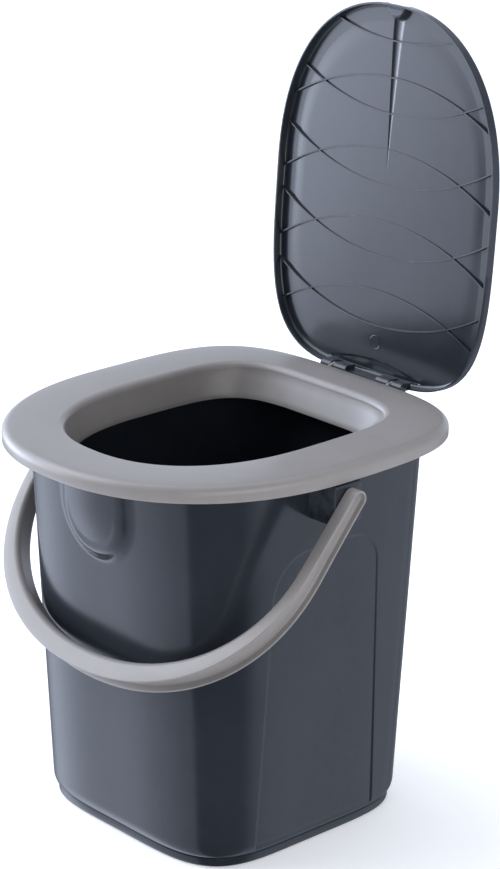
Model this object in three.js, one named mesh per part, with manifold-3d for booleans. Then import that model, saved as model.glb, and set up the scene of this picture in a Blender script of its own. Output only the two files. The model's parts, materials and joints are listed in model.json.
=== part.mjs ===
// Portable camp toilet: a tapered bucket with a pouring spout, a seat that clips over its rim,
// a ribbed lid on two hinge pins, and a swinging carrying handle.
// Millimetres, +Z up. The front is -Y, the hinge is at +Y, and X is the line of left-right symmetry.
// The origin is on the floor under the middle of the whole object, with the lid standing open.

import * as THREE from 'three';
import { mergeVertices } from 'three/addons/utils/BufferGeometryUtils.js';
import Module from 'manifold-3d';

const wasm = await Module();
wasm.setup();

// ---- driving dimensions ----

const ringSteps = 60;
const clearance = 0.4;

// An outline is a rounded oblong: half-widths to the side, front and rear of its centre,
// and how square its front and rear corners are.
const seatPlan = { side: 191.5, front: 211.6, rear: 190.5, squareFront: 2.23, squareRear: 3.85 };
const openingPlan = { side: 125, front: 152.5, rear: 142.5, squareFront: 2.33, squareRear: 4.38 };
const footPlan = { side: 140, front: 125, rear: 149.5, squareFront: 4.14, squareRear: 4.76 };
const rimPlan = { side: 156.5, front: 147, rear: 181.5, squareFront: 3.8, squareRear: 4.76 };
const lidPlan = { side: 153.4, front: 185.4, rear: 196, squareFront: 2.26, squareRear: 4 };

const seatTop = 410;
const seatCentreY = -16;
const seatWall = 2.8;
const seatCrown = 0.6;
const seatLipDrop = 17.2;
const outerShoulder = 9;
const innerShoulder = 7.5;
const skirtDrop = 36;
const skirtPull = { side: 5, front: 6, rear: 12.8 };
const channelWall = 2;
const channelDrop = 12;
const channelGrip = 0.3;
const innerGrip = 4;

const bucketCentreY = -25;
const bucketTop = 404.4;
const bucketWall = 2.6;
const wallFlare = 1.028;
const beadOut = 3;
const beadHeight = 5;
const floorTop = 10.5;
const floorBottom = 7.5;
const floorRound = 13;
const footHeight = 9;
const footInset = 4.3;
const footWidth = 3.7;
const footRound = 2;
const wallRoundTop = 23;
const spoutRows = [285, 300, 315, 330, 350, 375];

const spoutHalfWidth = 57;
const spoutCentreZ = 351;
const spoutStep = 8;
const spoutSideFlank = 23;
const spoutLowFlank = 16;
const spoutCrease = 0.6;
const spoutDome = 2.5;
const spoutDomeRadius = 34;

const pivotY = -21.6;
const pivotZ = 378.5;
const bossFaceX = 192.2;
const bossWidth = 34;
const bossTop = 390.5;
const bossHeight = 40;
const bossWall = 3;
const bossRound = 2;
const bossRootX = 140;
const studRadius = 5.5;
const studHeadRadius = 6.8;
const studHeadLength = 2.4;

const bailHalfWidth = 192.8;
const bailReach = 235;
const bailArmLength = 84;
const bailSquare = 2.1;
const bailHangAngle = THREE.MathUtils.degToRad(48.7);
const bailFlange = 2.2;
const bailGrowth = 75;
const pivotSection = { width: 17.5, depth: 14.4, channel: 5.7, round: 2 };
const gripSection = { width: 25, depth: 21.4, channel: 8.4, round: 6.5 };
const bailSteps = 40;

const hingeY = 180.5;
const hingeZ = 405.5;
const lidOpenAngle = THREE.MathUtils.degToRad(94.65);
const lidRearOverhang = 2.9;
const lidBase = 4.9;
const lidSkirt = 12;
const lidCrown = -2.5;
const lidCrownShare = 0.55;
const lidWall = 2.2;
const lidRound = 4;
const lidInnerRound = 2;
const knuckleRadius = 4.9;
const outerKnuckle = [44.2, 59];
const innerKnuckle = [22, 40.4];
const lugSpan = [40.8, 43.8];
const lugRadius = 4;
const knuckleRise = 5;
const lugRise = 1.5;
const lugRoot = 4;
const pinRadius = 2;
const pinReach = 27;
const stopBarDrop = 5.1;
const stopBarFront = -0.6;

const ribPitch = 72.6;
const ribCurve = 285;
const ribDepth = 3.2;
const ribWall = 1.4;
const saggingRibStart = 51;
const saggingRibs = 5;
const humpedRibStart = 87;
const humpedRibs = 4;

const grooveRadius = 6.5;
const grooveLength = 145;
const grooveDepth = 1;
const dentRadius = 17;
const dentLength = 17;
const dentDepth = 6.4;

// ---- materials ----

const anthracite = { color: 0x3a3f48, roughness: 0.28, metalness: 0 };
const warmGrey = { color: 0x9d9ba0, roughness: 0.42, metalness: 0 };

// ---- helpers ----

function toSolid(geometry) {
  geometry.deleteAttribute('normal');
  geometry.deleteAttribute('uv');
  const merged = mergeVertices(geometry, 1e-4);
  const corners = merged.index.array;
  const kept = [];
  for (let i = 0; i < corners.length; i += 3) {
    const [a, b, c] = [corners[i], corners[i + 1], corners[i + 2]];
    if (a !== b && b !== c && c !== a) kept.push(a, b, c);
  }
  const mesh = new wasm.Mesh({
    numProp: 3,
    vertProperties: new Float32Array(merged.getAttribute('position').array),
    triVerts: new Uint32Array(kept),
  });
  mesh.merge();
  return new wasm.Manifold(mesh);
}

function toGeometry(solid) {
  const mesh = solid.getMesh();
  const geometry = new THREE.BufferGeometry();
  geometry.setAttribute('position', new THREE.BufferAttribute(mesh.vertProperties, 3));
  geometry.setIndex(new THREE.BufferAttribute(mesh.triVerts, 1));
  const flat = geometry.toNonIndexed();
  flat.computeVertexNormals();
  return flat;
}

function joined(solids) {
  return solids.reduce((whole, solid) => whole.add(solid));
}

function smoothStep(value) {
  const t = THREE.MathUtils.clamp(value, 0, 1);
  return t * t * (3 - 2 * t);
}

// Steps round a quarter circle of radius 1 that ends upright: how far in from the upright side,
// and how far along it.
function quarterRound(steps) {
  return Array.from({ length: steps + 1 }, (_, i) => {
    const turn = (Math.PI / 2) * (i / steps);
    return { inward: 1 - Math.sin(turn), along: 1 - Math.cos(turn) };
  });
}

// Distance from the centre to the outline in the direction of an angle from +X.
function planRadius(plan, angle) {
  const across = Math.abs(Math.cos(angle));
  const along = Math.abs(Math.sin(angle));
  const reach = Math.sin(angle) < 0 ? plan.front : plan.rear;
  const square = Math.sin(angle) < 0 ? plan.squareFront : plan.squareRear;
  return ((across / plan.side) ** square + (along / reach) ** square) ** (-1 / square);
}

function mixPlan(low, high, share) {
  const mix = (key) => THREE.MathUtils.lerp(low[key], high[key], share);
  return Object.fromEntries(Object.keys(low).map((key) => [key, mix(key)]));
}

function shrinkPlan(plan, pull) {
  const smaller = (key) => plan[key] - pull[key];
  return { ...plan, side: smaller('side'), front: smaller('front'), rear: smaller('rear') };
}

// A turned body whose rings are pulled from circles to outlines. Each station has a height z and
// a function radius(angle); a station without one is a point on the axis.
function turned(stations, shift = () => 0) {
  const points = stations.map((station) => new THREE.Vector2(station.radius ? 1 : 0, station.z));
  const geometry = new THREE.LatheGeometry(points, ringSteps);
  const position = geometry.getAttribute('position');
  for (let i = 0; i < position.count; i += 1) {
    const station = stations[i % stations.length];
    const step = Math.floor(i / stations.length) % ringSteps;
    const angle = (2 * Math.PI * step) / ringSteps - Math.PI / 2;
    const radius = station.radius ? station.radius(angle) : 0;
    const x = radius * Math.cos(angle);
    const y = radius * Math.sin(angle);
    position.setXYZ(i, x, y - shift(x, y, station.z), station.z);
  }
  return toSolid(geometry);
}

// Turns a shape drawn in Y and Z, and extruded, so that the extrusion runs along X.
function alongX(geometry) {
  const basis = new THREE.Matrix4();
  basis.makeBasis(new THREE.Vector3(0, 1, 0), new THREE.Vector3(0, 0, 1), new THREE.Vector3(1, 0, 0));
  return geometry.applyMatrix4(basis);
}

function rodAlongX(radius, fromX, toX, y = 0, z = 0, sides = 24) {
  const geometry = new THREE.CylinderGeometry(radius, radius, toX - fromX, sides);
  geometry.rotateZ(-Math.PI / 2);
  geometry.translate((fromX + toX) / 2, y, z);
  return toSolid(geometry);
}

function block(xSpan, ySpan, zSpan) {
  const geometry = new THREE.BoxGeometry(xSpan[1] - xSpan[0], ySpan[1] - ySpan[0], zSpan[1] - zSpan[0]);
  geometry.translate((xSpan[0] + xSpan[1]) / 2, (ySpan[0] + ySpan[1]) / 2, (zSpan[0] + zSpan[1]) / 2);
  return toSolid(geometry);
}

function namedMesh(name, solid, finish) {
  const mesh = new THREE.Mesh(toGeometry(solid), new THREE.MeshStandardMaterial(finish));
  mesh.name = name;
  return mesh;
}

// ---- bucket ----

// The wall's outside widens in straight lines from the foot to the rim.
function wallPlan(z) {
  const lowest = shrinkPlan(footPlan, {
    side: footPlan.side * (1 - wallFlare),
    front: footPlan.front * (1 - wallFlare),
    rear: footPlan.rear * (1 - wallFlare),
  });
  return mixPlan(lowest, rimPlan, z / bucketTop);
}

function wallStation(z, inset = 0) {
  const plan = wallPlan(z);
  return { z, radius: (angle) => planRadius(plan, angle) - inset };
}

// How far the pouring spout stands out in front of the wall: a U with sloping flanks round a
// slightly domed face.
function spoutBulge(x, y, z) {
  if (y > 0) return 0;
  const below = Math.max(spoutCentreZ - z, 0);
  const distance = Math.max(Math.hypot(x, below), clearance);
  const flank = THREE.MathUtils.lerp(spoutSideFlank, spoutLowFlank, below / distance);
  const rise = THREE.MathUtils.clamp((spoutHalfWidth - distance) / flank, 0, 1);
  const ramp = rise - (spoutCrease * Math.sin(2 * Math.PI * rise)) / (2 * Math.PI);
  const dome = Math.max(1 - (distance / spoutDomeRadius) ** 2, 0);
  return spoutStep * ramp + spoutDome * dome;
}

// The inside from the floor's middle up to a height.
function bucketInside(topZ) {
  const corner = quarterRound(3).map(({ inward, along }) => wallStation(
    floorTop + floorRound * along,
    bucketWall + floorRound * inward,
  ));
  return [{ z: floorTop }, ...corner, ...[...spoutRows, topZ].map((z) => wallStation(z, bucketWall))];
}

function bucketShell() {
  const footInner = footInset + footWidth;
  const wallEdge = quarterRound(3).map(({ inward, along }) => wallStation(
    footHeight + (wallRoundTop - footHeight) * along,
    footInset * inward,
  ));
  const beadLow = bucketTop - beadHeight;
  const stations = [
    { z: floorBottom },
    wallStation(floorBottom, footInner),
    wallStation(0, footInner),
    wallStation(0, footInset + footRound),
    wallStation(footRound, footInset),
    wallStation(footHeight - 1, footInset),
    wallStation(footHeight, footInset + 1),
    ...wallEdge,
    ...spoutRows.map((z) => wallStation(z)),
    wallStation(beadLow),
    wallStation(beadLow + 1, -beadOut),
    wallStation(bucketTop - 1, -beadOut),
    wallStation(bucketTop, 1 - beadOut),
    ...bucketInside(bucketTop).reverse(),
  ];
  return turned(stations, spoutBulge);
}

// A solid block on the side wall, from one height up to the boss's top.
function bossBlock(inset, fromX, toX, lowZ, bevel) {
  const halfWidth = bossWidth / 2 - inset;
  const height = bossTop - inset - lowZ;
  const outline = new THREE.Shape();
  outline.moveTo(-halfWidth + bevel, lowZ + bevel);
  outline.lineTo(halfWidth - bevel, lowZ + bevel);
  outline.lineTo(halfWidth - bevel, lowZ + height - bevel);
  outline.lineTo(-halfWidth + bevel, lowZ + height - bevel);
  outline.closePath();
  const bevelled = { bevelEnabled: bevel > 0, bevelThickness: bevel, bevelSize: bevel, bevelSegments: 2 };
  const geometry = new THREE.ExtrudeGeometry(outline, { depth: toX - fromX - 2 * bevel, ...bevelled });
  geometry.translate(0, 0, fromX + bevel);
  return toSolid(alongX(geometry));
}

// A hollow box on the side wall, open underneath, whose outer face holds the handle's stud.
function handleBoss(side) {
  const lowZ = bossTop - bossHeight;
  const outer = bossBlock(0, bossRootX, bossFaceX, lowZ, bossRound);
  const hollow = bossBlock(bossWall, bossRootX - 1, bossFaceX - bossWall, lowZ - 1, 0);
  const studHole = rodAlongX(studRadius + clearance, bossFaceX - 2 * bossWall, bossFaceX + 1, 0, pivotZ);
  const boss = outer.subtract(hollow).subtract(studHole);
  return boss.rotate([0, 0, side > 0 ? 0 : 180]).translate([0, pivotY - bucketCentreY, 0]);
}

function makeBucket() {
  const above = bucketTop + 1;
  const interior = turned([...bucketInside(above), { z: above }], spoutBulge);
  const bosses = joined([handleBoss(-1), handleBoss(1)]).subtract(interior);
  const bucket = namedMesh('bucket', bucketShell().add(bosses), anthracite);
  bucket.position.y = bucketCentreY;
  return bucket;
}

// ---- seat ----

// share 0 is the opening's edge and 1 the seat's outer edge; outset moves the ring outwards.
function seatStation(share, outset, drop) {
  const radius = (angle) => outset + THREE.MathUtils.lerp(
    planRadius(openingPlan, angle),
    planRadius(seatPlan, angle),
    share,
  );
  return { z: seatTop - drop, radius };
}

// depthShare 0 is the top of the splash skirt and 1 its lower edge.
function skirtStation(depthShare, outset, drop) {
  const plan = mixPlan(openingPlan, shrinkPlan(openingPlan, skirtPull), depthShare);
  return { z: seatTop - drop, radius: (angle) => planRadius(plan, angle) + outset };
}

function seatShell() {
  const outerRound = quarterRound(4).map(({ inward, along }) => seatStation(
    1,
    -outerShoulder * inward,
    seatCrown + outerShoulder * along,
  ));
  const innerRound = quarterRound(3).map(({ inward, along }) => seatStation(
    0,
    innerShoulder * inward,
    seatCrown + innerShoulder * along,
  ));
  const stations = [
    seatStation(1, 0, seatLipDrop),
    ...outerRound.reverse(),
    seatStation(0.5, 0, 0),
    ...innerRound,
    skirtStation(1, 0, skirtDrop),
    skirtStation(1, seatWall, skirtDrop),
    skirtStation(0, seatWall, innerShoulder + 1),
    seatStation(0, innerShoulder, seatCrown + seatWall),
    seatStation(0.5, 0, seatWall),
    seatStation(1, -outerShoulder, seatCrown + seatWall),
    seatStation(1, -seatWall, outerShoulder),
    seatStation(1, -seatWall, seatLipDrop),
    seatStation(1, 0, seatLipDrop),
  ];
  return turned(stations);
}

// The channel under the seat that sits on the bucket's rim and grips its bead from outside.
function rimChannel() {
  const rim = (outset, z) => ({ z, radius: wallStation(bucketTop, -outset).radius });
  const roof = bucketTop + clearance;
  const roofTop = seatTop - seatWall;
  const low = bucketTop - channelDrop;
  const gripInside = beadOut + clearance + channelGrip;
  const gripOutside = gripInside + channelWall;
  const stations = [
    rim(gripOutside, low),
    rim(gripOutside, roofTop),
    rim(-innerGrip, roofTop),
    rim(-innerGrip, roof),
    rim(gripInside, roof),
    rim(gripInside, low),
    rim(gripOutside, low),
  ];
  return turned(stations, spoutBulge).translate([0, bucketCentreY - seatCentreY, 0]);
}

// A thin upright ear behind the seat, with a round end about the hinge axis.
function hingeLug(side) {
  const rootY = seatCentreY + seatPlan.rear - lugRoot - hingeY;
  const ear = new THREE.Shape();
  ear.moveTo(rootY, -lugRadius);
  ear.lineTo(0, -lugRadius);
  ear.absarc(0, 0, lugRadius, -Math.PI / 2, Math.PI / 2, false);
  ear.lineTo(rootY, lugRise);
  ear.closePath();
  const hole = new THREE.Path();
  hole.absarc(0, 0, pinRadius + clearance, 0, 2 * Math.PI, true);
  ear.holes.push(hole);
  const thickness = lugSpan[1] - lugSpan[0];
  const extrusion = { depth: thickness, bevelEnabled: false, curveSegments: 10 };
  const geometry = new THREE.ExtrudeGeometry(ear, extrusion);
  geometry.translate(0, 0, side > 0 ? lugSpan[0] : -lugSpan[1]);
  return toSolid(alongX(geometry)).translate([0, hingeY - seatCentreY, hingeZ]);
}

function makeSeat() {
  const solid = joined([seatShell(), rimChannel(), hingeLug(-1), hingeLug(1)]);
  const seat = namedMesh('seat', solid, warmGrey);
  seat.position.y = seatCentreY;
  return seat;
}

// ---- lid, drawn closed about the hinge axis ----

const lidCentreY = lidRearOverhang - lidPlan.rear;
const lidTipReach = lidPlan.front - lidCentreY;

function lidStation(inset, z, share = 1) {
  return { z, radius: (angle) => share * (planRadius(lidPlan, angle) - inset) };
}

function lidShell() {
  const top = lidBase + lidSkirt;
  const under = top - lidWall;
  const innerRound = quarterRound(2).map(({ inward, along }) => lidStation(
    lidWall + lidInnerRound * inward,
    under - lidInnerRound * along,
  ));
  const outerRound = quarterRound(3).map(({ inward, along }) => lidStation(
    lidRound * inward,
    top - lidRound * along,
  ));
  const stations = [
    { z: under + lidCrown },
    lidStation(0, under + lidCrown * (1 - lidCrownShare ** 2), lidCrownShare),
    ...innerRound,
    lidStation(lidWall, lidBase),
    lidStation(0, lidBase),
    ...outerRound.reverse(),
    lidStation(0, top + lidCrown * (1 - lidCrownShare ** 2), lidCrownShare),
    { z: top + lidCrown },
  ];
  return turned(stations).translate([0, lidCentreY, 0]);
}

// A body as wide as the lid, inset a little, that follows the dished plate at the top.
function lidRoom(inset, lowZ, edgeZ) {
  return turned([
    { z: lowZ },
    lidStation(inset, lowZ),
    lidStation(inset, edgeZ),
    lidStation(0, edgeZ + lidCrown * (1 - lidCrownShare ** 2), lidCrownShare),
    { z: edgeZ + lidCrown },
  ]).translate([0, lidCentreY, 0]);
}

// One rib: a thin arc across the lid. bend +1 opens towards the tip, -1 towards the hinge.
function ribBlade(reach, bend) {
  const centre = reach + bend * ribCurve;
  const inner = ribCurve - ribWall / 2;
  const outer = ribCurve + ribWall / 2;
  const halfTurn = Math.asin(lidPlan.side / inner);
  const middle = bend > 0 ? Math.PI / 2 : -Math.PI / 2;
  const arc = new THREE.Shape();
  arc.absarc(0, -centre, outer, middle - halfTurn, middle + halfTurn, false);
  arc.absarc(0, -centre, inner, middle + halfTurn, middle - halfTurn, true);
  arc.closePath();
  const top = lidBase + lidSkirt - lidWall;
  const geometry = new THREE.ExtrudeGeometry(arc, {
    depth: ribDepth + lidWall / 2,
    bevelEnabled: false,
    curveSegments: 5,
  });
  geometry.translate(0, 0, top - ribDepth);
  return toSolid(geometry);
}

function lidRibs() {
  const blades = [];
  for (let i = 0; i < saggingRibs; i += 1) blades.push(ribBlade(saggingRibStart + ribPitch * i, 1));
  for (let i = 0; i < humpedRibs; i += 1) blades.push(ribBlade(humpedRibStart + ribPitch * i, -1));
  const under = lidBase + lidSkirt - lidWall;
  const room = lidRoom(lidWall / 2, under - ribDepth - lidWall, under + lidWall / 2);
  return joined(blades).intersect(room);
}

// The finger dent pressed into the top at the lid's tip: a flattened cone lying along the lid.
function dentCone(grow) {
  const radius = dentRadius + grow;
  const length = dentLength + grow;
  const geometry = new THREE.ConeGeometry(radius, length, 16);
  geometry.scale(1, 1, (dentDepth + grow) / radius);
  geometry.translate(0, length / 2 - lidTipReach - clearance, lidBase + lidSkirt);
  return toSolid(geometry);
}

// The tapering groove in the plate's underside, from the dent to the middle of the lid.
function grooveCone() {
  const geometry = new THREE.ConeGeometry(grooveRadius, grooveLength, 12);
  geometry.scale(1, 1, grooveDepth / grooveRadius);
  geometry.translate(0, grooveLength / 2, 0);
  geometry.rotateX(Math.atan(lidCrown / grooveLength));
  geometry.translate(0, dentLength - lidTipReach, lidBase + lidSkirt - lidWall);
  return toSolid(geometry);
}

function knuckles() {
  const parts = [];
  for (const side of [-1, 1]) {
    for (const span of [outerKnuckle, innerKnuckle]) {
      const [fromX, toX] = side > 0 ? span : [-span[1], -span[0]];
      parts.push(rodAlongX(knuckleRadius, fromX, toX));
      parts.push(block([fromX, toX], [-knuckleRadius, lidRearOverhang], [0, lidBase + knuckleRise]));
    }
  }
  return joined(parts);
}

// The bar between the inner knuckles stops the open lid against the back of the seat.
function stopBar() {
  const reachX = innerKnuckle[0] + 1;
  return block([-reachX, reachX], [stopBarFront, lidRearOverhang], [-stopBarDrop, lidBase + lidWall]);
}

function pinHole(side) {
  const [fromX, toX] = side > 0 ? [pinReach, outerKnuckle[1] + 1] : [-outerKnuckle[1] - 1, -pinReach];
  return rodAlongX(pinRadius + clearance, fromX, toX);
}

function makeLid() {
  const inside = lidRoom(clearance, lidBase, lidBase + lidSkirt - lidWall / 2);
  const dent = dentCone(lidWall).intersect(inside);
  const plate = lidShell().subtract(grooveCone());
  const solid = joined([plate, lidRibs(), dent, knuckles(), stopBar()])
    .subtract(dentCone(0))
    .subtract(pinHole(-1))
    .subtract(pinHole(1));
  return namedMesh('lid', solid, anthracite);
}

function makeHingePin(name, side) {
  const inner = pinReach + clearance;
  const outer = outerKnuckle[1] - clearance;
  const [fromX, toX] = side > 0 ? [inner, outer] : [-outer, -inner];
  return namedMesh(name, rodAlongX(pinRadius, fromX, toX, 0, 0, 16), anthracite);
}

// ---- handle, drawn in its own plane: X across, Y reaching from the pivots to the grip ----

// The inside face's line: straight arms, then a rounded end.
function bailLine() {
  const line = [];
  for (const reach of [0, bailArmLength * 0.5]) line.push(new THREE.Vector2(bailHalfWidth, reach));
  for (let i = 0; i <= bailSteps; i += 1) {
    const turn = (Math.PI * i) / bailSteps;
    const across = Math.sign(Math.cos(turn)) * Math.abs(Math.cos(turn)) ** (2 / bailSquare);
    const along = Math.sin(turn) ** (2 / bailSquare);
    const reach = THREE.MathUtils.lerp(bailArmLength, bailReach, along);
    line.push(new THREE.Vector2(bailHalfWidth * across, reach));
  }
  for (const reach of [bailArmLength * 0.5, 0]) line.push(new THREE.Vector2(-bailHalfWidth, reach));
  return line;
}

// A channel that opens outwards, with its two inner corners rounded.
function channelSection({ width, depth, channel, round }) {
  const half = width / 2;
  const floor = depth - channel;
  const corner = quarterRound(2).map(({ inward, along }) => [round * along, half - round * inward]);
  return [
    ...corner.map(([out, lift]) => [out, -lift]),
    [depth, -half],
    [depth, bailFlange - half],
    [floor, bailFlange - half],
    [floor, half - bailFlange],
    [depth, half - bailFlange],
    [depth, half],
    ...corner.reverse(),
  ];
}

// The arms grow wider and deeper from a little below the pivots to the grip.
function sectionAt(reach) {
  return mixPlan(pivotSection, gripSection, smoothStep((reach - bailGrowth) / (bailReach - bailGrowth)));
}

// A channel section carried along a line, open on the outside, with flat ends.
function sweptChannel(line) {
  const positions = [];
  const sectionSize = channelSection(pivotSection).length;
  line.forEach((point, i) => {
    const before = line[Math.max(i - 1, 0)];
    const after = line[Math.min(i + 1, line.length - 1)];
    const heading = after.clone().sub(before).normalize();
    for (const [out, lift] of channelSection(sectionAt(point.y))) {
      positions.push(point.x + out * heading.y, point.y - out * heading.x, lift);
    }
  });
  const faces = [];
  for (let i = 0; i + 1 < line.length; i += 1) {
    for (let j = 0; j < sectionSize; j += 1) {
      const a = i * sectionSize + j;
      const b = i * sectionSize + ((j + 1) % sectionSize);
      faces.push(a, b + sectionSize, b, a, a + sectionSize, b + sectionSize);
    }
  }
  const outline = channelSection(pivotSection).map(([out, lift]) => new THREE.Vector2(out, lift));
  const last = (line.length - 1) * sectionSize;
  for (const [a, b, c] of THREE.ShapeUtils.triangulateShape(outline, [])) {
    faces.push(a, b, c);
    faces.push(last + a, last + c, last + b);
  }
  const geometry = new THREE.BufferGeometry();
  geometry.setAttribute('position', new THREE.BufferAttribute(new Float32Array(positions), 3));
  geometry.setIndex(faces);
  return toSolid(geometry);
}

// The rounded end of an arm: a half cup about the pivot, with a stud that snaps into the boss.
function bailEnd() {
  const radius = pivotSection.width / 2;
  const outerX = bailHalfWidth + pivotSection.depth;
  const cup = rodAlongX(radius, bailHalfWidth, outerX, 0, 0, 32);
  const recess = rodAlongX(radius - bailFlange, outerX - pivotSection.channel, outerX + 1, 0, 0, 32);
  const armSide = block([bailHalfWidth - 1, outerX + 2], [1, radius + 1], [-radius - 1, radius + 1]);
  const halfCup = cup.subtract(recess).subtract(armSide);
  const headX = bossFaceX - bossWall - clearance;
  const stud = rodAlongX(studRadius, headX - 0.5, bailHalfWidth + 0.5);
  const head = rodAlongX(studHeadRadius, headX - studHeadLength, headX);
  return joined([halfCup, stud, head]);
}

function makeBail() {
  const end = bailEnd();
  const otherEnd = end.mirror([1, 0, 0]);
  const solid = joined([sweptChannel(bailLine()), end, otherEnd]);
  const bail = namedMesh('carry_handle', solid, warmGrey);
  bail.position.set(0, pivotY, pivotZ);
  bail.rotation.x = Math.PI + bailHangAngle;
  return bail;
}

// ---- assembly ----

const lidGroup = new THREE.Group();
lidGroup.position.set(0, hingeY, hingeZ);
lidGroup.rotation.x = -lidOpenAngle;
lidGroup.add(makeLid());
lidGroup.add(makeHingePin('hinge_pin_left', -1));
lidGroup.add(makeHingePin('hinge_pin_right', 1));

const toilet = new THREE.Group();
toilet.add(makeBucket());
toilet.add(makeSeat());
toilet.add(lidGroup);
toilet.add(makeBail());

export default toilet;
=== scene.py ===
import json
import math

import bmesh
import bpy
import numpy as np
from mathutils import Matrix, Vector


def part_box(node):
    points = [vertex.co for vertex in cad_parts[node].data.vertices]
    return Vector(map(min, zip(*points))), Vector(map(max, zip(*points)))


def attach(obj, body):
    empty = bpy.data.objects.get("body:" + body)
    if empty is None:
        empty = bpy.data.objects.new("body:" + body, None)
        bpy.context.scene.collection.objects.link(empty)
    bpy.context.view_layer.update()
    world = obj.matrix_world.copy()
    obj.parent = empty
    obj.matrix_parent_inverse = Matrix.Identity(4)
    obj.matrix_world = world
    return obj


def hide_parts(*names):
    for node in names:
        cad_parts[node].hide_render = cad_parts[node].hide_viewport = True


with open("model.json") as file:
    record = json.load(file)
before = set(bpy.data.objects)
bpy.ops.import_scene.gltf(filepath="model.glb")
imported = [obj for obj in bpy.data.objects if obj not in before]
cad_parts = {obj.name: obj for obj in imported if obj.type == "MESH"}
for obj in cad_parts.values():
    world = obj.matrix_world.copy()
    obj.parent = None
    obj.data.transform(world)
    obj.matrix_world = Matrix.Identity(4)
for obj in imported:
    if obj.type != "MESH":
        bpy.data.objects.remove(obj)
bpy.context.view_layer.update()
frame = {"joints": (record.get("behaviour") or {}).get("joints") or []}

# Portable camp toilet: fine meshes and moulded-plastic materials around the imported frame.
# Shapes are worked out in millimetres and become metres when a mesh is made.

MM = 0.001

# ---- outlines: half-widths to the side, front and rear, and squareness of front and rear ----

SEAT = np.array([191.5, 211.6, 190.5, 2.23, 3.85])
OPENING = np.array([125.0, 152.5, 142.5, 2.33, 4.38])
FOOT = np.array([140.0, 125.0, 149.5, 4.14, 4.76])
RIM = np.array([156.5, 147.0, 181.5, 3.8, 4.76])
LID = np.array([153.4, 185.4, 196.0, 2.26, 4.0])

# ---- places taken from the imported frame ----

SEAT_ABOVE_RIM = 5.6
BEAD_OUT = 3.0
SPOUT_STEP = 8.0
SPOUT_DOME = 2.5
SEAT_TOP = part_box("bucket")[1].z / MM + SEAT_ABOVE_RIM
SEAT_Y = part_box("seat")[0].y / MM + SEAT[1]
BUCKET_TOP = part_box("bucket")[1].z / MM
BUCKET_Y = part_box("bucket")[0].y / MM + RIM[1] + BEAD_OUT + SPOUT_STEP + SPOUT_DOME
JOINTS = {joint["name"]: joint for joint in frame["joints"]}
HINGE = np.array(JOINTS["lid_hinge"]["pos_m"]) / MM
PIVOT = np.array(JOINTS["handle_swing"]["pos_m"]) / MM
BOSS_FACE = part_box("bucket")[1].x / MM
BAIL_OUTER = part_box("carry_handle")[1].x / MM


# ---- small helpers ----

def smooth(value):
    t = np.clip(value, 0.0, 1.0)
    return t * t * (3 - 2 * t)


def outline(plan, angle):
    """Distance from the centre to a rounded oblong, in the direction of an angle from +X."""
    side, front, rear, square_front, square_rear = plan
    ahead = np.sin(angle) < 0
    reach = np.where(ahead, front, rear)
    square = np.where(ahead, square_front, square_rear)
    across = (np.abs(np.cos(angle)) / side) ** square
    along = (np.abs(np.sin(angle)) / reach) ** square
    return (across + along) ** (-1 / square)


def columns(stops, counts):
    """Angles round a ring: half of it runs through the stops, and the other half mirrors it."""
    spans = [np.linspace(a, b, n, endpoint=False) for a, b, n in zip(stops, stops[1:], counts)]
    half = np.concatenate(spans + [np.array([stops[-1]])])
    return np.concatenate([half[:-1], (math.pi - half[::-1])[:-1]])


def arc(centre, radii, start, end, steps):
    """Points of an elliptic arc in a profile's plane; angles in degrees."""
    turn = np.radians(np.linspace(start, end, steps))
    return [(centre[0] + radii[0] * math.cos(t), centre[1] + radii[1] * math.sin(t)) for t in turn]


def turned_about(axis_angle, points):
    """Points turned about the X axis."""
    cos, sin = math.cos(axis_angle), math.sin(axis_angle)
    x, y, z = points[..., 0], points[..., 1], points[..., 2]
    return np.stack([x, y * cos - z * sin, y * sin + z * cos], -1)


def loft(rings, start=None, end=None, loop=False):
    """A shell of quads between closed rings, shut by a point at each end, or joined to itself."""
    rings = np.asarray(rings, float)
    count, size = rings.shape[:2]
    rows = np.arange(count if loop else count - 1)[:, None]
    spots = np.arange(size)[None, :]
    after = (rows + 1) % count
    beside = (spots + 1) % size
    near, far = rows * size, after * size
    corners = [near + spots, near + beside, far + beside, far + spots]
    faces = np.stack(corners, -1).reshape(-1, 4).tolist()
    points = [rings.reshape(-1, 3)]
    total = count * size
    for row, point in ((0, start), (count - 1, end)):
        if point is None:
            continue
        points.append(np.array([point], float))
        faces += [[row * size + i, row * size + (i + 1) % size, total] for i in range(size)]
        total += 1
    return np.concatenate(points), faces


def shifted_outline(points, inset):
    """A closed outline moved inwards by an inset; the outline runs anticlockwise."""
    before = np.roll(points, 1, axis=0)
    after = np.roll(points, -1, axis=0)
    along = after - before
    along /= np.linalg.norm(along, axis=1, keepdims=True)
    return points + inset * np.stack([-along[:, 1], along[:, 0]], -1)


def prism(points, from_x, to_x):
    """A solid of one outline in Y and Z that runs along X, with chamfered ends."""
    chamfer = 0.5
    stations = ((from_x, chamfer), (from_x + chamfer, 0), (to_x - chamfer, 0), (to_x, chamfer))
    rings = []
    for x, inset in stations:
        flat = shifted_outline(points, inset) if inset else points
        rings.append(np.column_stack([np.full(len(flat), x), flat]))
    middle = points.mean(0)
    return loft(rings, (from_x, *middle), (to_x, *middle))


def rod(stations, centre, steps=40):
    """A solid turned about a line along X; each station is (x, radius)."""
    turn = np.linspace(0, 2 * math.pi, steps, endpoint=False)
    rings = [
        np.column_stack([
            np.full(steps, x), centre[0] + radius * np.cos(turn), centre[1] + radius * np.sin(turn),
        ])
        for x, radius in stations
    ]
    return loft(rings, (stations[0][0], *centre), (stations[-1][0], *centre))


def mirrored(shell):
    """The same shell on the other side of the plane x = 0."""
    points, faces = shell
    return points * np.array([-1, 1, 1]), faces


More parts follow.
